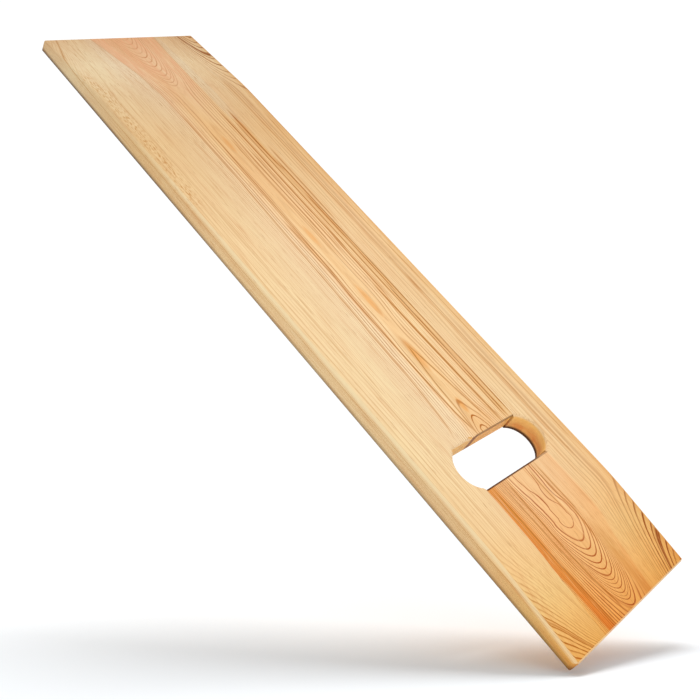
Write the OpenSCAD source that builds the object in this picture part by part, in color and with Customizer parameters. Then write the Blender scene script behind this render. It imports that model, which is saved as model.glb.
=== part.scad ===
// Transfer board: a flat wooden board edge-glued from staves, thinned at both ends
// and pierced by a hand hole near one end.
// Frame: +X points to the hand hole end, +Y across the board, +Z up.
// Origin: centre of the flat underside.

/* [Board] */
// Length over both tips
board_length = 762; // [560:1:900]
// Width over the long edges
board_width = 193; // [170:1:240]
// Thickness between the two tapers
board_thickness = 19; // [17:0.5:24]
// Radius of the corners seen from above
corner_radius = 6; // [3:0.5:12]
// Radius of the rounding along the long edges
edge_radius = 4.8; // [2:0.2:5]

/* [Tapered ends] */
// Thickness of both tips
tip_thickness = 12; // [11:0.5:15]
// Run of the taper at the hand hole end
grip_taper = 107; // [70:1:120]
// Run of the taper at the plain end
plain_taper = 116; // [70:1:140]
// Largest radius that blends the flat top into each taper
blend_radius = 400; // [150:10:600]
// Chamfer on the four tip edges
tip_chamfer = 1.2; // [0.4:0.2:2]

/* [Hand hole] */
// Length of the hole, across the board
hole_length = 120; // [110:1:125]
// Width of the hole, along the board
hole_width = 43.5; // [36:0.5:50]
// Distance from the tip to the middle of the hole
hole_inset = 166; // [150:1:200]
// Radius of the rounded rim at both ends of the hole
end_rim_radius = 3.2; // [1:0.2:5]
// Radius of the worn stretch of straight rim on the long centre stave
worn_rim_radius = 2.2; // [1:0.2:4]
// Length of that worn stretch, from the front seam
worn_rim_length = 28; // [10:1:50]
// Size of the chip where the worn stretch ends
chip_size = 3.5; // [2:0.5:6]
// Radius of the other rims, above and below
small_rim_radius = 1; // [0.4:0.1:2]

/* [Staves] */
// Width of the front stave
front_stave_width = 46.5; // [42:0.5:50]
// Width of the back stave
back_stave_width = 50.3; // [42:0.1:52]

/* [Hidden] */
overlap = 1;
arc_steps = 6;
blend_steps = 8;
half_length = board_length / 2;
half_width = board_width / 2;
tip_drop = board_thickness - tip_thickness;
front_seam = -half_width + front_stave_width;
back_seam = half_width - back_stave_width;
hole_x = half_length - hole_inset;
hole_end_radius = hole_width / 2;
hole_end_y = hole_length / 2 - hole_end_radius;
far_past = board_length * 0.35;

// Points along an arc in the plane, from one angle to the other.
function arc(centre, radius, from, to) = [
    for (i = [0 : arc_steps])
        let (angle = from + (to - from) * i / arc_steps)
            centre + radius * [cos(angle), sin(angle)]
];

// Cross-section of a stave whose upper edge lies on the X axis of the sketch.
module upper_section(low_y, high_y, round_low, round_high) {
    low_corner = round_low
        ? arc([low_y + edge_radius, -edge_radius], edge_radius, 180, 90)
        : [[low_y, 0]];
    high_corner = round_high
        ? arc([high_y - edge_radius, -edge_radius], edge_radius, 90, 0)
        : [[high_y, 0]];
    polygon(concat(
        [[low_y, -far_past]], low_corner, high_corner, [[high_y, -far_past]]
    ));
}

// Cross-section of a stave whose lower edge lies on the X axis of the sketch.
module lower_section(low_y, high_y, round_low, round_high) {
    low_corner = round_low
        ? arc([low_y + edge_radius, edge_radius], edge_radius, 180, 270)
        : [[low_y, 0]];
    high_corner = round_high
        ? arc([high_y - edge_radius, edge_radius], edge_radius, 270, 360)
        : [[high_y, 0]];
    polygon(concat(
        [[low_y, far_past]], low_corner, high_corner, [[high_y, far_past]]
    ));
}

// Sweeps a sketch towards +X: sketch X becomes Y, sketch Y becomes Z.
module sweep_along_x(distance) {
    rotate([90, 0, 90])
        linear_extrude(distance)
            children();
}

// Everything under one end's top: the sketch swept along each tangent of the blend,
// from the flat top, at step 0, to the taper, at the last step.
module under_tangents(run, first_step) {
    radius = min(blend_radius, 0.4 * pow(run, 2) / tip_drop);
    reach = norm([run, radius - tip_drop]);
    turn = atan2(run, radius - tip_drop) - acos(radius / reach);
    translate([half_length - run, 0, board_thickness - radius])
        intersection_for (i = [first_step : blend_steps])
            rotate([0, turn * i / blend_steps, 0])
                translate([-board_length, 0, radius])
                    sweep_along_x(2 * board_length)
                        children();
}

// Everything under the whole top: the flat middle and a taper at each end.
module under_top() {
    intersection() {
        under_tangents(grip_taper, 0)
            children();
        rotate([0, 0, 180])
            under_tangents(plain_taper, 1)
                mirror([1, 0])
                    children();
    }
}

// Outline from above, with rounded corners.
module plan_outline() {
    x = half_length - corner_radius;
    y = half_width - corner_radius;
    translate([0, 0, -overlap])
        linear_extrude(far_past + overlap)
            polygon(concat(
                arc([x, y], corner_radius, 0, 90),
                arc([-x, y], corner_radius, 90, 180),
                arc([-x, -y], corner_radius, 180, 270),
                arc([x, -y], corner_radius, 270, 360)
            ));
}

// Outline from the side, with a chamfer on each tip edge.
module side_outline() {
    rise = far_past - tip_thickness + tip_chamfer;
    quarter = [
        [half_length - tip_chamfer, 0],
        [half_length, tip_chamfer],
        [half_length, tip_thickness - tip_chamfer],
        [half_length - rise, far_past]
    ];
    rotate([90, 0, 0])
        linear_extrude(board_width + 2 * overlap, center = true)
            polygon(concat(
                quarter,
                [for (i = [3 : -1 : 0]) [-quarter[i][0], quarter[i][1]]]
            ));
}

// A full-length strip of the board between two long edges or seams.
module strip(low_y, high_y, round_low = false, round_high = false) {
    intersection() {
        under_top()
            upper_section(low_y, high_y, round_low, round_high);
        translate([-half_length, 0, 0])
            sweep_along_x(board_length)
                lower_section(low_y, high_y, round_low, round_high);
        plan_outline();
        side_outline();
    }
}

// Straight-sided hole with half-round ends, through the full thickness.
module hand_hole() {
    translate([hole_x, 0, -overlap]) {
        for (side = [-1, 1])
            translate([0, side * hole_end_y, 0])
                cylinder(h = far_past + overlap, r = hole_end_radius, $fn = 96);
        translate([-hole_end_radius, -hole_end_y, 0])
            cube([hole_width, 2 * hole_end_y, far_past + overlap]);
    }
}

// Sketch that rounds a rim: sketch X runs out of the hole, sketch Y up through the face.
module rim_sketch(radius) {
    polygon(concat(
        arc([hole_end_radius + radius, -radius], radius, 180, 90),
        [
            [hole_end_radius + radius, overlap],
            [hole_end_radius - overlap, overlap],
            [hole_end_radius - overlap, -radius]
        ]
    ));
}

// Rounds the rim round both half-round ends of the hole.
module round_end_rims(radius) {
    for (side = [-1, 1])
        translate([hole_x, side * hole_end_y, 0])
            rotate_extrude($fn = 96)
                rim_sketch(radius);
}

// Rounds a stretch of straight rim; side is 1 towards the hole end's tip, or -1.
module round_straight_rim(side, low_y, high_y, radius) {
    translate([hole_x, high_y, 0])
        rotate([90, 0, 0])
            linear_extrude(high_y - low_y)
                mirror([side < 0 ? 1 : 0, 0])
                    rim_sketch(radius);
}

// Everything the hand hole takes out of an outer stave.
module outer_grip_cut() {
    hand_hole();
    translate([0, 0, board_thickness])
        round_end_rims(end_rim_radius);
    mirror([0, 0, 1])
        round_end_rims(small_rim_radius);
}

// Squares off a centre stave at the hole, on the side towards the hole.
module square_cut(side) {
    translate([hole_x + side * hole_end_radius, front_seam - overlap, -overlap])
        mirror([side < 0 ? 0 : 1, 0, 0])
            cube([board_length, board_width, far_past + overlap]);
}

// Rounds the lower rim of a centre stave, and its upper rim between two places.
module round_centre_rims(side, low_y, high_y) {
    translate([0, 0, board_thickness])
        round_straight_rim(side, low_y, high_y, small_rim_radius);
    mirror([0, 0, 1])
        round_straight_rim(side, front_seam - overlap, back_seam + overlap, small_rim_radius);
}

module front_stave() {
    color([0.93, 0.80, 0.60])
        difference() {
            strip(-half_width, front_seam, round_low = true);
            outer_grip_cut();
        }
}

module back_stave() {
    color([0.90, 0.74, 0.53])
        difference() {
            strip(back_seam, half_width, round_high = true);
            outer_grip_cut();
        }
}

module centre_stave_long() {
    worn_end = front_seam + worn_rim_length;
    color([0.91, 0.70, 0.48])
        difference() {
            strip(front_seam, back_seam);
            square_cut(-1);
            round_centre_rims(-1, worn_end, back_seam + overlap);
            translate([0, 0, board_thickness])
                round_straight_rim(-1, front_seam - overlap, worn_end, worn_rim_radius);
            translate([hole_x - hole_end_radius + chip_size / 3, worn_end, board_thickness])
                sphere(r = chip_size, $fn = 48);
        }
}

module centre_stave_short() {
    color([0.88, 0.62, 0.38])
        difference() {
            strip(front_seam, back_seam);
            square_cut(1);
            round_centre_rims(1, front_seam - overlap, back_seam + overlap);
        }
}

front_stave();
back_stave();
centre_stave_long();
centre_stave_short();
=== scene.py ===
"""Transfer board: pine materials, studio light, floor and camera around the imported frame."""

import math

import bpy
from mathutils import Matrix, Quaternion, Vector


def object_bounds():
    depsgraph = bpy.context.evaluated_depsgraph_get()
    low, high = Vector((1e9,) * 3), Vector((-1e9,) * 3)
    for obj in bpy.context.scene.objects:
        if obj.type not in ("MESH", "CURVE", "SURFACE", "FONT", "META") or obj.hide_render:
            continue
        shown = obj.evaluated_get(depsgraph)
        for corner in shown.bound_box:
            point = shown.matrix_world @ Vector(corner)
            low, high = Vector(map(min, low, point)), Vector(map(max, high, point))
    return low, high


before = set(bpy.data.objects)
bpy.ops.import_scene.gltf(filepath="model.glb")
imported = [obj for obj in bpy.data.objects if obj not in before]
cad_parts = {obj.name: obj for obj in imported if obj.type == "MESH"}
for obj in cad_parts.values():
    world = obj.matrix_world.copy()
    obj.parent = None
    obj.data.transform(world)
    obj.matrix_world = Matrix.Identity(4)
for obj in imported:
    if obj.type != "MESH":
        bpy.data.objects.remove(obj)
CAD_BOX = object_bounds()
LOW, HIGH = CAD_BOX

# The camera that gives the photo's view of the board, and the way that the floor faces.
LENS_MM = 48.74
CAMERA_AT = Vector((0.33438, -0.64055, 0.53721))
CAMERA_AIM = Vector((0.0619, -0.0417, 0.0))
CAMERA_ROLL = math.radians(32.77)
FLOOR_UP = Vector((-0.7227, 0.3282, 0.6083)).normalized()

# The floor is a little blue, against the warm light that the wood throws on it.
FLOOR_SIZE = 6.0
FLOOR_COLOUR = (0.892, 0.92, 0.943, 1.0)
WHITE = (1.0, 1.0, 1.0, 1.0)
FILL_STRENGTH = 0.62
BACKDROP_STRENGTH = 1.05
OVERHEAD_TILT = math.radians(22)

# Places on the board in millimetres, as in part.scad.
FAR, NEAR = LOW.x * 1000, HIGH.x * 1000
TOP = HIGH.z * 1000
FRONT_SEAM, BACK_SEAM = -50, 46.2
HOLE_X = NEAR - 166

# Half the size, along and across the board, of the area that holds the hand hole's rims.
HOLE_AREA_X, HOLE_AREA_Y = 24, 64

# The dark lines on the hole's two straight rims, the near one painted shade, and the dark streak
# on its far wall.
NEAR_RIM = HOLE_X + 22.0
FAR_RIM = HOLE_X - 21.9
FAR_RIM_START = -13.5
WALL_STREAK_Y = -14
WALL_STREAK_WIDTH = 7


def srgb(red, green, blue):
    """A display colour from 0 to 255, as the linear colour that nodes take."""
    def linear(c):
        c /= 255
        return c / 12.92 if c <= 0.04045 else ((c + 0.055) / 1.055) ** 2.4
    return (linear(red), linear(green), linear(blue), 1.0)


# ---------------------------------------------------------------- node helpers


class Graph:
    """One node tree, with short ways to add nodes to it."""

    def __init__(self, owner):
        owner.use_nodes = True
        self.tree = owner.node_tree
        self.tree.nodes.clear()

    def add(self, kind, inputs=None, **settings):
        """A new node with these settings, and a value or a link for each input named."""
        node = self.tree.nodes.new("ShaderNode" + kind)
        for name, value in settings.items():
            setattr(node, name, value)
        for key, value in (inputs or {}).items():
            self.plug(node.inputs[key], value)
        return node

    def plug(self, socket, value):
        """Link a socket to another one, or set it to a plain value."""
        if isinstance(value, Value):
            value = value.socket
        if isinstance(value, bpy.types.NodeSocket):
            self.tree.links.new(value, socket)
        else:
            socket.default_value = value

    def finish(self, kind, shader):
        """Link a shader to the tree's output."""
        self.plug(self.add(kind).inputs[0], shader.outputs[0])

    def math(self, operation, *values):
        node = self.add("Math", dict(enumerate(values)), operation=operation)
        return Value(self, node.outputs[0])

    def constant(self, number):
        return self.math("ADD", number, 0.0)

    def separate(self, vector):
        """The three numbers in a vector."""
        node = self.add("SeparateXYZ", {0: vector})
        return [Value(self, part) for part in node.outputs]

    def noise(self, x, y, z, detail=2.0, roughness=0.5):
        """Smooth noise from 0 to 1, in patches about 1 across."""
        place = self.add("CombineXYZ", {0: x, 1: y, 2: z}).outputs[0]
        node = self.add("TexNoise", {"Vector": place, "Scale": 1.0, "Detail": detail,
                                     "Roughness": roughness})
        return Value(self, node.outputs[0])

    def noise_along(self, number):
        """Smooth noise of one number."""
        node = self.add("TexNoise", {"W": number, "Scale": 1.0, "Detail": 1.0},
                        noise_dimensions="1D")
        return Value(self, node.outputs[0])

    def curve(self, value, points, slope=0.0):
        """A smooth curve through (input, output) points, then straight on at this slope."""
        (x0, _), (x1, _) = points[0], points[-1]
        y0, y1 = min(y for _, y in points), max(y for _, y in points)
        if y0 == y1:
            return self.constant(y0)
        share = self.add("MapRange", {0: value, 1: x0, 2: x1}).outputs[0]
        node = self.add("FloatCurve", {"Value": share})
        spline = node.mapping.curves[0]
        while len(spline.points) < len(points):
            spline.points.new(0.5, 0.5)
        for point, (x, y) in zip(spline.points, points):
            point.location = ((x - x0) / (x1 - x0), (y - y0) / (y1 - y0))
            point.handle_type = "AUTO_CLAMPED"
        node.mapping.update()
        result = Value(self, node.outputs[0]) * (y1 - y0) + y0
        if slope:
            inside = value.do("MAXIMUM", x0).do("MINIMUM", x1)
            result = result + (value - inside) * slope
        return result

    def ramp(self, value, stops):
        """A colour ramp through (input, colour) stops."""
        low, high = stops[0][0], stops[-1][0]
        share = self.add("MapRange", {0: value, 1: low, 2: high}).outputs[0]
        node = self.add("ValToRGB", {0: share})
        elements = node.color_ramp.elements
        while len(elements) < len(stops):
            elements.new(0.5)
        for element, (x, _) in zip(elements, stops):
            element.position = (x - low) / (high - low)
        for element, (_, colour) in zip(elements, stops):
            element.color = colour
        return node.outputs[0]

    def mix(self, share, a, b, blend="MIX"):
        """Colour a, with this share of b laid over it."""
        node = self.add("Mix", data_type="RGBA", blend_type=blend)
        for index, value in ((0, share), (6, a), (7, b)):
            self.plug(node.inputs[index], value)
        return node.outputs[2]


class Value:
    """A number in a node tree; arithmetic on it adds Math nodes."""

    def __init__(self, graph, socket):
        self.graph, self.socket = graph, socket

    def __add__(self, other):
        return self.graph.math("ADD", self, other)

    def __sub__(self, other):
        return self.graph.math("SUBTRACT", self, other)

    def __rsub__(self, other):
        return self.graph.math("SUBTRACT", other, self)

    def __mul__(self, other):
        return self.graph.math("MULTIPLY", self, other)

    def __truediv__(self, other):
        return self.graph.math("DIVIDE", self, other)

    def __abs__(self):
        return self.graph.math("ABSOLUTE", self)

    def do(self, operation, *others):
        """Any other Math operation on it."""
        return self.graph.math(operation, self, *others)

    def rise(self, low, high):
        """0 below low, 1 above high, smooth between; low may be the larger."""
        node = self.graph.add("MapRange", {0: self, 1: low, 2: high},
                              interpolation_type="SMOOTHSTEP")
        return Value(self.graph, node.outputs[0])

    def band(self, centre, width):
        """1 at the centre, falling smoothly to 0 at this distance from it."""
        return abs(self - centre).rise(width, 0.0)


# ----------------------------------------------------------------- pine colours

DARK_LINE = srgb(150, 84, 0)
LINE_HALO = srgb(242, 158, 30)
TAN_BAND = srgb(202, 136, 48)
RESIN = srgb(240, 158, 56)
CANAL = srgb(168, 96, 30)
FIBRE = srgb(196, 126, 62)
DARK_VEIN = srgb(206, 138, 72)
PALE_VEIN = srgb(255, 236, 196)
PINK_TONE = srgb(228, 160, 116)
PAINTED_EDGE_HIGHLIGHT = srgb(255, 236, 192)
PAINTED_LOW_EDGE_SHADE = srgb(72, 44, 28)
CUT_END = srgb(160, 98, 52)
HOLE_WALL = srgb(255, 232, 172)
HOLE_SIDE = srgb(255, 200, 116)
HOLE_STAIN_AND_SHADE = srgb(214, 106, 40)
PAINTED_RIM_SHADE = srgb(56, 26, 4)
WALL_STREAK = srgb(118, 52, 4)
DARK_SEAMS_RIMS_AND_SHADE = srgb(84, 36, 4)

# How the finish and the cut tint the wood from the far end to the hand-hole end, with painted
# shade that darkens and greys the far end.
TINTS_AND_FAR_SHADE = [
    (FAR, srgb(222, 212, 204)), (-330, srgb(238, 243, 247)), (-280, srgb(234, 230, 225)),
    (-210, srgb(238, 228, 212)), (-60, srgb(253, 249, 242)), (60, srgb(255, 254, 249)),
    (190, srgb(255, 255, 251)), (262, srgb(254, 247, 235)), (300, srgb(255, 240, 214)),
    (330, srgb(251, 235, 197)), (350, srgb(251, 225, 175)), (NEAR, srgb(243, 203, 133))]


# ------------------------------------------------------------------ the staves

# Distances are in millimetres, in the frame of the board. Lists of pairs are points of a
# smooth curve, from a place along the board unless it says otherwise. The depth of a mark
# is the share of its colour that it lays over the wood.
#
#   seed          moves the noise, so that no two staves share a pattern
#   pith_y        where the pith runs, the line that the growth rings go round
#   pith_depth    how far the pith is from the flat top
#   pith_side     1 where the pith is above the board, -1 where it is below
#   flare         how much closer than circles the rings lie far from the pith
#   swell         how the rings bulge along the board
#   growth        from a ring's reach to the number of rings up to it; a reach is how far a
#                 ring lies outside the one that touches the flat top beside the pith
#   growth_slope  rings per millimetre beyond the ends of that curve
#   ring_depth    from reach to how dark the rings are
#   along         how dark the rings are along the board
#   quiet         the rings fade between these two distances to the back of the pith
#   strong        single rings that stand out, each at a reach; a side of -1 keeps one to
#                 the front of the pith
#   late          the colour of late wood, which ends each ring
#   guides        the front and the back guide line that the colour lanes run between
#   lanes         colours at shares of the way from the front guide, 0, to the back one, 1
#   blush         a pinker colour between the guides at the far end
#   resin         soft ovals: x, y, half length, half width and depth
#   lines         thin dark lines along the board
#   bands         the same, but tan
#   speckle       the same, but broken into specks


def streak(start, end, depth, path, width=1.25):
    """A line along a path of (x, y), seen between two places along the board."""
    return dict(span=(start, end), depth=depth, path=path, width=width)


FRONT_STAVE = dict(
    seed=3.1,
    pith_y=[(FAR, -101), (-280, -105), (321, -105), (NEAR, -99)],
    pith_depth=[(FAR, 70), (-200, 110), (200, 150), (NEAR, 150)],
    pith_side=-1,
    swell=[(FAR, 0.3), (-200, -0.2), (0, 0.15), (200, 0.0), (NEAR, 0.0)],
    growth=[(-7, -12), (7, 11)],
    growth_slope=1.65,
    ring_depth=[(-7, 1.2), (-4, 1.2), (-2, 0.6), (0, 0.35), (6, 0.28)],
    along=[(FAR, 0.25), (-330, 0.35), (-260, 0.6), (-100, 0.9), (200, 1.0), (NEAR, 1.1)],
    strong=[dict(at=-3.72, width=0.28, depth=0.7), dict(at=3.5, width=0.35, depth=0.3)],
    late=srgb(188, 118, 14),
    guides=([(FAR, -96), (NEAR, -96)],
            [(FAR, FRONT_SEAM), (NEAR, FRONT_SEAM)]),
    lanes=[(0.0, srgb(246, 217, 168)), (0.2, srgb(248, 220, 173)), (0.7, srgb(249, 222, 177)),
           (1.0, srgb(246, 219, 176))],
    lines=[streak(-10, 35, 0.4, [(-10, -68.5), (35, -68.5)]),
           streak(80, 130, 0.3, [(80, -68), (130, -68.5)])],
    speckle=[streak(-330, -110, 0.7, [(-330, -88), (-240, -85), (-110, -90)], 12.0)],
)

BACK_STAVE = dict(
    seed=8.7,
    pith_y=[(FAR, 90), (-240, 92), (240, 93), (321, 98), (NEAR, 98.4)],
    pith_depth=[(FAR, 62), (-250, 80), (200, 130), (NEAR, 140)],
    pith_side=-1,
    swell=[(FAR, 0.0), (-150, -0.1), (100, 0.1), (NEAR, 0.0)],
    growth=[(-6.3, -7.5), (-4.28, -4.7), (-2.6, -2.7), (-1.64, -1.65), (0.12, 0.35),
            (1.64, 1.4), (6, 5.0)],
    growth_slope=1.25,
    ring_depth=[(-6, 1.3), (-2.6, 1.25), (-1.4, 0.7), (0.4, 0.5), (1.4, 0.3), (6, 0.25)],
    strong=[dict(at=-4.28, width=0.38, depth=1.0), dict(at=1.64, width=0.24, depth=0.45)],
    late=srgb(154, 80, 0),
    guides=([(FAR, 46), (NEAR, 46)],
            [(FAR, 96), (NEAR, 96)]),
    lanes=[(0.0, srgb(246, 213, 166)), (0.5, srgb(244, 210, 161)), (0.8, srgb(244, 208, 157)),
           (0.9, srgb(236, 192, 134)), (1.0, srgb(230, 176, 112))],
    lines=[streak(-240, 250, 0.45, [(-240, 85), (-100, 84), (60, 86), (190, 86), (250, 87)]),
           streak(-300, 260, 0.4, [(-300, 70.5), (-60, 71.5), (120, 71), (260, 72)]),
           streak(-190, -60, 0.6, [(-190, 50), (-60, 49)], 1.6),
           streak(10, 50, 0.7, [(10, 72.5), (50, 72.5)]),
           streak(120, 195, 0.45, [(120, 73), (195, 73)])],
)

CENTRE_STAVE_LONG = dict(
    seed=5.4,
    pith_y=[(FAR, 0), (-199, 4.5), (-60, 4), (26, 3), (96, 0), (164, 0), (178, 1.5), (193, 1.5)],
    pith_depth=[(FAR, 75), (NEAR, 75)],
    pith_side=-1,
    swell=[(FAR, 0.1), (-279, 0.2), (-239, 0.2), (-199, 0.0), (-139, 0.2), (-59, 0.0),
           (-20, 0.2), (26, 0.0), (61, 0.2), (96, -0.02), (116, -0.1), (141, -0.28),
           (164, -0.62), (178, -1.0), (190, -1.4)],
    growth=[(-1.5, -2.5), (-1.0, -1.2), (-0.62, -0.2), (0, 0.8), (0.7, 2.0), (2.1, 4),
            (3.9, 6), (14, 18)],
    growth_slope=1.7,
    ring_depth=[(-7, 0.6), (-2, 1.0), (-0.3, 0.95), (-0.05, 0.12), (0.35, 0.2), (0.8, 0.6),
                (4, 0.75), (7, 0.6), (11, 0.45), (14, 0.2)],
    late=srgb(178, 96, 0),
    guides=([(FAR, -41.5), (-340, -33), (-300, -25.5), (-240, -22.5), (-199, -21),
             (-150, -18.5), (0, -17.5), (100, -18.5), (193, -20)],
            [(FAR, 40.5), (-319, 35.5), (-269, 33.5), (-234, 35), (-209, 46), (193, 46)]),
    lanes=[(-0.50, srgb(247, 220, 177)), (-0.01, srgb(251, 226, 187)),
           (0.03, srgb(252, 221, 178)), (0.15, srgb(255, 224, 176)),
           (0.28, srgb(249, 209, 156)), (0.4, srgb(248, 209, 157)), (0.6, srgb(252, 219, 171)),
           (0.98, srgb(250, 216, 164)), (1.02, srgb(246, 220, 178)),
           (1.2, srgb(246, 220, 178))],
    blush=srgb(222, 160, 118),
    resin=[(-194, 4, 16, 4.5, 0.4), (-57, 3, 18, 4.0, 0.4), (31, 2.5, 26, 5.0, 0.5),
           (101, 0.5, 24, 5.5, 0.55), (163, 1, 12, 4.0, 0.6), (200, 10, 42, 42, 0.22)],
    lines=[streak(-250, 192, 0.5, [(-239, -21), (-159, -21), (-119, -22.5), (-49, -24.5),
                                   (0, -25.5), (41, -26.5), (81, -28), (121, -29),
                                   (141, -30.5), (171, -33.5), (186, -37.5)]),
           streak(-250, -20, 0.85, [(-239, 29), (-119, 29), (-40, 30)]),
           streak(-60, 40, 0.7, [(-60, 28), (40, 28)]),
           streak(10, 200, 0.95, [(20, 24), (81, 25), (191, 28)]),
           streak(-220, 10, 0.7, [(-200, -5.5), (-100, -7.5), (0, -10.5)]),
           streak(-90, 20, 0.7, [(-80, -12.5), (-20, -12.5), (20, -11.5)]),
           streak(-30, 200, 0.9, [(-20, -11.5), (60, -14), (130, -14), (193, -10)]),
           streak(-250, -140, 1.0, [(-239, 40.5), (-180, 40.5), (-140, 44)], 1.5),
           streak(-170, 200, 0.95, [(-150, 44.2), (-19, 45), (193, 45.2)], 1.2),
           streak(-230, 200, 0.85, [(-200, 36.2), (193, 36.0)], 1.1),
           streak(-120, 40, 0.9, [(-100, 42), (40, 42)]),
           streak(10, 200, 1.0, [(20, 39.4), (193, 39.4)], 1.3),
           streak(76, 200, 0.75, [(92, -0.5), (131, -6), (161, -8), (186, -9.5)], 1.2),
           streak(76, 200, 0.75, [(92, 1.5), (131, 7.5), (156, 11), (186, 16)], 1.2),
           streak(-210, -20, 0.5, [(-200, 11.5), (-20, 11.5)]),
           streak(-190, -20, 0.55, [(-180, 17), (-100, 17.5), (-20, 17)]),
           streak(-190, -20, 0.6, [(-180, 22.5), (-20, 22.5)])],
    bands=[streak(-400, -200, 0.3, [(FAR, -41), (-340, -32.5), (-300, -25), (-240, -22),
                                    (-200, -20.5)], 1.6),
           streak(-245, 200, 0.24, [(-209, 41), (-19, 41), (193, 40)], 7.0),
           streak(-240, 60, 0.10, [(-239, 29), (60, 29)], 2.6),
           streak(0, 200, 0.30, [(20, 24), (193, 27)], 3.5),
           streak(60, 200, 0.28, [(100, -5), (193, -4)], 7.0),
           streak(-240, 100, 0.10, [(-200, -8), (0, -10), (100, -12)], 4.0)],
)

CENTRE_STAVE_SHORT = dict(
    seed=6.6,
    pith_y=[(243, -3), (269, -1.5), (291, 1.5), (NEAR, 1.5)],
    pith_depth=[(230, 90), (NEAR, 90)],
    pith_side=1,
    flare=8e-5,
    swell=[(236, 0.38), (243, 0.435), (256, 0.66), (269, 0.895), (280, 0.66), (289, 0.41),
           (301.5, 0.0), (NEAR, 0.0)],
    growth=[(-1, -1.6), (0.1, -0.95), (0.84, -0.6), (0.945, 0), (1.06, 0.2), (1.5, 0.55),
            (1.94, 1), (2.59, 2), (3.12, 3), (3.65, 4), (4.1, 5), (4.57, 6), (5.2, 8),
            (5.86, 10), (6.77, 13), (8, 14.3), (19.5, 24)],
    growth_slope=0.8,
    ring_depth=[(0, 1.0), (2, 1.25), (4, 1.6), (7, 1.6), (10, 1.3), (14, 1.0)],
    quiet=(15, 24),
    strong=[dict(at=4.6, width=0.2, depth=0.6, side=-1),
            dict(at=7.0, width=0.3, depth=0.35, side=-1)],
    late=srgb(176, 80, 0),
    guides=([(236, -41), (301, -41), (341, -36.5), (NEAR, -33.5)],
            [(236, 46), (291, 46), (331, 39.5), (NEAR, 32.5)]),
    lanes=[(-0.16, srgb(254, 220, 164)), (-0.12, srgb(238, 156, 76)),
           (-0.02, srgb(240, 165, 88)), (0.04, srgb(249, 201, 142)), (0.3, srgb(250, 208, 158)),
           (0.5, srgb(246, 202, 151)), (0.64, srgb(250, 211, 163)), (0.85, srgb(248, 207, 159)),
           (0.98, srgb(246, 200, 150)), (1.02, srgb(248, 214, 168))],
    lines=[streak(230, 330, 0.7, [(236, 16), (270, 16.5), (300, 19), (330, 15)]),
           streak(230, 310, 0.6, [(236, 20.5), (270, 21), (310, 22)]),
           streak(230, 385, 0.75, [(236, -24), (280, -25), (330, -21), (370, -13)]),
           streak(230, 340, 0.5, [(236, -32), (280, -31), (330, -27)]),
           streak(230, 390, 0.6, [(236, -43), (291, -42.5), (323, -39.5), (354, -35.5),
                                  (377, -32.5)], 1.5),
           streak(230, 300, 0.6, [(236, 10.5), (262, 8), (280, 9), (300, 12)])],
    bands=[streak(230, 390, 0.4, [(236, -47), (291, -46), (330, -41), (NEAR, -34)], 3.0),
           streak(300, 400, 0.4, [(300, 26), (NEAR, 28)], 10.0)],
)

STAVES = {
    "front_stave": FRONT_STAVE,
    "back_stave": BACK_STAVE,
    "centre_stave_long": CENTRE_STAVE_LONG,
    "centre_stave_short": CENTRE_STAVE_SHORT,
}


# --------------------------------------------------------------- pine materials


def patches(g, at, long, wide, deep=None, detail=2.0, roughness=0.5, shift_x=0.0, shift_y=0.0):
    """Noise in patches about this long, wide and deep in mm; deep is wide if not given."""
    x, y, z = at
    return g.noise(x / long + shift_x, y / wide + shift_y, z / (deep or wide), detail, roughness)


def flat_patches(g, at, long, wide, seed, detail=2.0):
    """The same, but alike through the whole thickness."""
    x, y, _ = at
    return g.noise(x / long, y / wide, seed, detail)


def strongest(g, amounts):
    """The largest of these amounts, or 0 where there are none."""
    top = g.constant(0.0)
    for amount in amounts:
        top = top.do("MAXIMUM", amount)
    return top


# How far through a ring its pale early wood ends, which is later beside the pith; where it
# is darkest; and where its edge lies, which the growth curves count from.
EARLY_SHARE = 0.52
EARLY_SHARE_AT_PITH = 0.76
DARKEST_SHARE = 0.88
RING_EDGE = 0.9

# Lines along the board fade in and out over this many millimetres at most.
LONGEST_FADE = 25

# Low, because the matt finish glints little.
FINISH_IOR = 1.25


def growth_rings(g, wood, at):
    """The reach of each point, and how far it lies towards the back of the pith."""
    x, y, z = at
    across = y - g.curve(x, wood["pith_y"])
    flared = across
    if "flare" in wood:
        flared = across + across * across * across * wood["flare"]
    depth = g.curve(x, wood["pith_depth"])
    upright = depth + (TOP - z) * wood["pith_side"]
    reach = (flared * flared + upright * upright).do("SQRT") - depth
    reach = reach + g.curve(x, wood["swell"])

    # The rings wander least beside the pith, where each one is seen widest.
    wander = patches(g, at, long=90, wide=26, detail=1.0, shift_x=wood["seed"]) - 0.5
    ripple = patches(g, at, long=22, wide=5, detail=1.0, shift_x=wood["seed"]) - 0.5
    freedom = abs(across).rise(6, 36) * 0.9 + 0.1
    return reach + (wander * 0.6 + ripple * 0.3) * freedom, across


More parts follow.
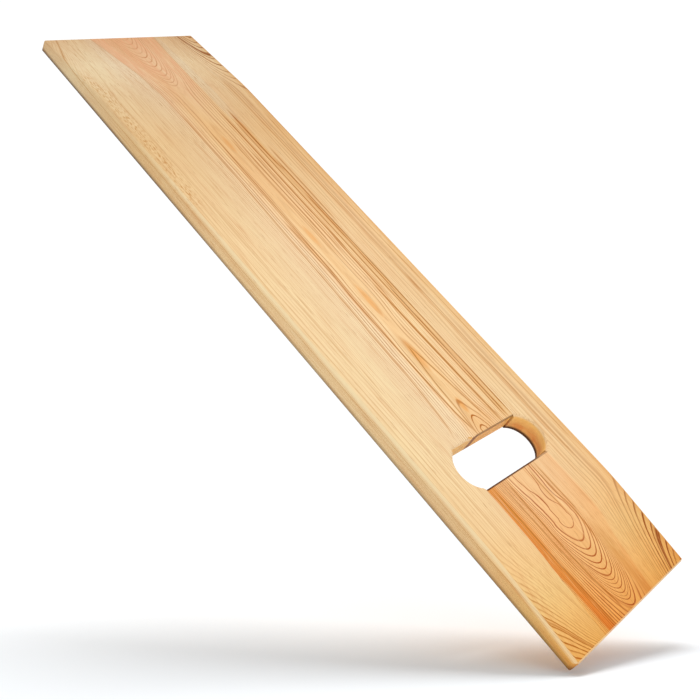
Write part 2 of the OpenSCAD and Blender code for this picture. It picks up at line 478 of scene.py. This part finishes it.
def late_wood(g, wood, at, reach, across):
    """Early wood is pale, and darkens to a thin line of late wood at each ring's edge."""
    ring = g.curve(reach, wood["growth"], wood["growth_slope"]) + RING_EDGE
    through = ring.do("FRACT")
    start = abs(across).rise(14, 0) * (EARLY_SHARE_AT_PITH - EARLY_SHARE) + EARLY_SHARE
    late = ((through - start) / (DARKEST_SHARE - start)).rise(0, 1).do("POWER", 1.5)
    late = late * through.rise(1.03, 0.95)

    # No two rings are equally dark, and none is equally dark all along.
    each_ring = g.noise_along(ring.do("FLOOR") * 0.73 + wood["seed"]).rise(0.3, 0.66)
    patchy = flat_patches(g, at, long=70, wide=16, seed=wood["seed"], detail=1.0).rise(0.25, 0.7)
    late = late * (each_ring * 0.5 + 0.5) * (patchy * 0.5 + 0.75)
    late = late * g.curve(reach, wood["ring_depth"])
    if "along" in wood:
        late = late * g.curve(at[0], wood["along"])
    if "quiet" in wood:
        late = late * (1.0 - across.rise(*wood["quiet"]) * 0.85)
    return late


def strong_rings(g, wood, reach, across):
    """The few growth rings that stand out from the rest."""
    amounts = []
    for ring in wood.get("strong", []):
        amount = reach.band(ring["at"], ring["width"]) * ring["depth"]
        if "side" in ring:
            amount = amount * (across * ring["side"]).rise(0, 6)
        amounts.append(amount)
    return strongest(g, amounts)


def lane_share(g, wood, at):
    """How far each point lies from the front guide line, 0, to the back one, 1."""
    x, y, _ = at
    front, back = (g.curve(x, guide) for guide in wood["guides"])
    return (y - front) / (back - front)


def along_paths(g, streaks, at, spread=1.0):
    """How strongly each point shows one of these streaks; spread widens them."""
    x, y, _ = at
    amounts = []
    for line in streaks:
        start, end = line["span"]
        fade = min(LONGEST_FADE, (end - start) / 2)
        amount = (y - g.curve(x, line["path"])).band(0.0, line["width"] * spread)
        amount = amount * x.rise(start, start + fade) * x.rise(end, end - fade)
        amounts.append(amount * line["depth"])
    uneven = flat_patches(g, at, long=30, wide=6, seed=2.0).rise(0.2, 0.55)
    return strongest(g, amounts) * (uneven * 0.25 + 0.75)


def resin_ovals(g, wood, at):
    """Soft patches of resin, each a long oval."""
    x, y, _ = at
    amounts = []
    for middle_x, middle_y, half_length, half_width, depth in wood.get("resin", []):
        away_x, away_y = (x - middle_x) / half_length, (y - middle_y) / half_width
        amounts.append((away_x * away_x + away_y * away_y).rise(1.0, 0.0) * depth)
    return strongest(g, amounts)


def figure(g, wood, at, late, dark):
    """The pattern of the wood: colour lanes, resin, bands, growth rings and dark lines."""
    colour = g.ramp(lane_share(g, wood, at), wood["lanes"])
    colour = g.mix(resin_ovals(g, wood, at), colour, RESIN)
    colour = g.mix(along_paths(g, wood.get("bands", []), at), colour, TAN_BAND)
    if "speckle" in wood:
        specks = flat_patches(g, at, long=5, wide=1.8, seed=wood["seed"]).rise(0.48, 0.66)
        colour = g.mix(along_paths(g, wood["speckle"], at) * specks, colour, TAN_BAND)
    colour = g.mix(late, colour, wood["late"])
    colour = g.mix(along_paths(g, wood["lines"], at, spread=2.2) * 0.45, colour, LINE_HALO)
    return g.mix(dark, colour, DARK_LINE)


def fine_grain(g, wood, at, colour, fibre, veins):
    """Fibres, fine veins, a slow change of tone, and resin canals as short dark dashes."""
    tone = patches(g, at, long=80, wide=20, shift_y=wood["seed"])
    canals = patches(g, at, long=16, wide=0.9, detail=1.0, shift_y=wood["seed"])
    colour = g.mix(fibre.rise(0.42, 0.72) * 0.26, colour, FIBRE)
    colour = g.mix(veins.rise(0.54, 0.74) * 0.34, colour, DARK_VEIN)
    colour = g.mix(veins.rise(0.46, 0.30) * 0.22, colour, PALE_VEIN)
    colour = g.mix(tone.rise(0.35, 0.75) * 0.10, colour, PINK_TONE)
    return g.mix(canals.rise(0.66, 0.78) * 0.45, colour, CANAL)


def tints_and_far_shade(g, wood, at, colour):
    """The tapers and the cut ends cross the fibres, and drink more of the finish; the tint ramp
    also holds painted shade at the far end.
    """
    x, y, _ = at
    # The tint ramp, which also holds painted shade at the far end.
    colour = g.mix(1.0, colour, g.ramp(x, TINTS_AND_FAR_SHADE), "MULTIPLY")
    if "blush" in wood:
        front, back = (g.curve(x, guide) for guide in wood["guides"])
        inside = (y - front).rise(0, 1.6) * (back - y).rise(0, 2.0)
        flecks = flat_patches(g, at, long=26, wide=3.0, seed=wood["seed"]).rise(0.35, 0.7)
        blushing = inside * x.rise(-225, -330) * (flecks * 0.4 + 0.35)
        colour = g.mix(blushing, colour, wood["blush"])
    return colour


def outer_faces(g, at, colour, normal, outside):
    """A painted highlight pales the rounded top edges, painted shade darkens the lowest edge,
    and the cut ends are darker.
    """
    x, _, z = at
    normal_x, _, normal_z = normal
    # Painted highlight: the rounded top edges are paler, as if lit, fading out towards the far
    # end.
    painted_highlight = normal_z.rise(0.45, 0.75) * normal_z.rise(0.995, 0.90) * x.rise(-330, -60)
    colour = g.mix(painted_highlight * outside * 0.5, colour, PAINTED_EDGE_HIGHLIGHT)
    # Painted shade: the lowest few millimetres of the sides darken, more towards the far end.
    low = z.rise(8.0, 1.8) * normal_z.rise(-0.99, -0.9) * (x.rise(0, -250) * 0.28 + 0.66)
    colour = g.mix(low * outside, colour, PAINTED_LOW_EDGE_SHADE)
    cut_end = abs(normal_x).rise(0.5, 0.95)
    return g.mix(cut_end * outside * 0.25, colour, CUT_END)


def hole_walls(g, at, colour, normal, in_hole, wall):
    """The walls of the hand hole: deeper in colour, stained, with painted shade low on the side
    walls and along their lower rim.
    """
    _, y, z = at
    normal_x, normal_y, _ = normal
    sideways = wall * abs(normal_y)
    colour = g.mix(wall, colour, HOLE_WALL, "MULTIPLY")
    colour = g.mix(sideways * 0.7, colour, HOLE_SIDE)
    # Patchy stain, deepest low on the side walls, where it is also painted shade.
    stain_and_shade = patches(g, at, long=12, wide=12, deep=5).rise(0.35, 0.65) * 0.4 + 0.3
    colour = g.mix(sideways * z.rise(17, 6) * stain_and_shade, colour, HOLE_STAIN_AND_SHADE)
    # Painted shade along the lower rim of the side walls.
    colour = g.mix(sideways.rise(0.2, 0.4) * z.rise(5.2, 2.2) * 0.95, colour, PAINTED_RIM_SHADE)

    # A dark streak stands on the far wall, where a strong ring meets it.
    dark = y.band(WALL_STREAK_Y, WALL_STREAK_WIDTH).rise(0.0, 0.8)
    dark = dark * in_hole * normal_x.rise(0.5, 0.9)
    return g.mix(dark * 0.85, colour, WALL_STREAK)


def seams_and_rims(g, at, colour, wall):
    """Dark lines where the finish gathers at the seams, a dark line along the far straight rim
    of the hand hole, and painted shade along its near straight rim.
    """
    x, y, z = at
    before_back_seam = y.rise(BACK_SEAM, BACK_SEAM - 0.4)
    # Painted shade: the near rim's rounding turns from the light.
    near_rim_shade = x.band(NEAR_RIM, 2.0) * y.rise(FRONT_SEAM + 0.4, FRONT_SEAM + 0.8)
    near_rim_shade = (near_rim_shade * before_back_seam).rise(0, 0.6) * (0.95 - y.rise(22, 40) * 0.5)
    far_rim = x.band(FAR_RIM, 1.3) * y.rise(FAR_RIM_START, FAR_RIM_START + 1)
    far_rim = far_rim * before_back_seam * z.rise(TOP - 4, TOP - 2) * 0.6
    seams = (y.band(FRONT_SEAM, 1.2) + y.band(BACK_SEAM, 1.2)) * wall * 0.4
    return g.mix(near_rim_shade + far_rim + seams, colour, DARK_SEAMS_RIMS_AND_SHADE)


def face_tones(g, at, colour):
    """What depends on the face: edges and ends, hole walls, seams and rims."""
    x, y, _ = at
    normal = g.separate(g.add("TexCoord").outputs["Normal"])
    in_hole = abs(x - HOLE_X).rise(HOLE_AREA_X + 3, HOLE_AREA_X)
    in_hole = in_hole * abs(y).rise(HOLE_AREA_Y + 2, HOLE_AREA_Y)
    wall = in_hole * abs(normal[2]).rise(0.75, 0.1)
    colour = outer_faces(g, at, colour, normal, 1.0 - in_hole)
    colour = hole_walls(g, at, colour, normal, in_hole, wall)
    return seams_and_rims(g, at, colour, wall)


def pine(name, wood):
    """Solid pine: growth rings through the whole piece, cut wherever a face cuts them."""
    material = bpy.data.materials.new(name)
    g = Graph(material)
    at = [axis * 1000 for axis in g.separate(g.add("TexCoord").outputs["Object"])]

    reach, across = growth_rings(g, wood, at)
    late = late_wood(g, wood, at, reach, across)
    late = late.do("MAXIMUM", strong_rings(g, wood, reach, across))
    dark = along_paths(g, wood["lines"], at)
    fibre = patches(g, at, long=30, wide=0.6, detail=3.0, roughness=0.6)
    veins = patches(g, at, long=60, wide=1.8, roughness=0.6, shift_x=wood["seed"])

    colour = figure(g, wood, at, late, dark)
    colour = fine_grain(g, wood, at, colour, fibre, veins)
    colour = tints_and_far_shade(g, wood, at, colour)
    colour = face_tones(g, at, colour)

    hard = late.do("MAXIMUM", dark)
    height = hard * 0.25 + fibre * 0.35 + veins * 0.2
    bump = g.add("Bump", {"Height": height, "Strength": 0.12, "Distance": 0.0006})
    shader = g.add("BsdfPrincipled", {
        "Base Color": colour, "Roughness": hard * 0.08 + fibre * 0.08 + 0.50,
        "Normal": bump.outputs[0], "IOR": FINISH_IOR})
    g.finish("OutputMaterial", shader)
    return material


def dress_staves():
    for node, wood in STAVES.items():
        material = pine("pine_" + node, wood)
        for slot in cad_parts[node].material_slots:
            slot.material = material


# --------------------------------------------------------------------- studio


def lowest_corner():
    """The corner of the board's box that stands on the floor."""
    corners = [Vector((x, y, z)) for x in (LOW.x, HIGH.x) for y in (LOW.y, HIGH.y)
               for z in (LOW.z, HIGH.z)]
    return min(corners, key=FLOOR_UP.dot)


def build_floor():
    """A wide pale floor under the board's lowest corner, seen only from above."""
    bpy.ops.mesh.primitive_plane_add(size=FLOOR_SIZE, location=lowest_corner())
    floor = bpy.context.object
    floor.name = "floor"
    floor.rotation_mode = "QUATERNION"
    floor.rotation_quaternion = FLOOR_UP.to_track_quat("Z", "Y")
    material = bpy.data.materials.new("floor_white")
    g = Graph(material)
    matt = g.add("BsdfDiffuse", {"Color": FLOOR_COLOUR})
    clear = g.add("BsdfTransparent")
    under = g.add("NewGeometry").outputs["Backfacing"]
    one_way = g.add("MixShader", {0: under, 1: matt.outputs[0], 2: clear.outputs[0]})
    g.finish("OutputMaterial", one_way)
    floor.data.materials.append(material)


def build_world():
    """White to the camera, and a dimmer white as fill light."""
    world = bpy.data.worlds.new("studio")
    bpy.context.scene.world = world
    g = Graph(world)
    seen = g.add("LightPath").outputs["Is Camera Ray"]
    fill = g.add("Background", {"Color": WHITE, "Strength": FILL_STRENGTH})
    backdrop = g.add("Background", {"Color": WHITE, "Strength": BACKDROP_STRENGTH})
    both = g.add("MixShader", {0: seen, 1: fill.outputs[0], 2: backdrop.outputs[0]})
    g.finish("OutputWorld", both)


def add_sun(name, towards, degrees_wide, strength, glints=True):
    """A soft distant light; towards points from the board to the light."""
    data = bpy.data.lights.new(name, "SUN")
    data.angle = math.radians(degrees_wide)
    data.energy = strength
    light = bpy.data.objects.new(name, data)
    light.rotation_mode = "QUATERNION"
    light.rotation_quaternion = towards.to_track_quat("Z", "Y")
    light.visible_glossy = glints
    bpy.context.scene.collection.objects.link(light)


def along_floor(direction):
    """The part of a direction that runs along the floor, as a unit vector."""
    return (direction - FLOOR_UP * direction.dot(FLOOR_UP)).normalized()


def build_lights():
    """A light above the floor, leaning away from the camera, and one that faces the board."""
    board_up = Vector((0, 0, 1))
    overhead = FLOOR_UP + along_floor(CAMERA_AIM - CAMERA_AT) * math.tan(OVERHEAD_TILT)
    add_sun("overhead", overhead, degrees_wide=25, strength=1.73, glints=False)
    add_sun("front", along_floor(board_up), degrees_wide=60, strength=1.12)


def build_camera():
    """The photo's camera, and display colours shown as they are."""
    data = bpy.data.cameras.new("camera")
    data.sensor_width = 36
    data.lens = LENS_MM
    camera = bpy.data.objects.new("camera", data)
    camera.location = CAMERA_AT
    camera.rotation_mode = "QUATERNION"
    level = (CAMERA_AT - CAMERA_AIM).to_track_quat("Z", "Y")
    camera.rotation_quaternion = level @ Quaternion((0, 0, 1), CAMERA_ROLL)
    bpy.context.scene.collection.objects.link(camera)
    bpy.context.scene.camera = camera
    bpy.context.scene.view_settings.view_transform = "Standard"


dress_staves()
build_floor()
build_world()
build_lights()
build_camera()
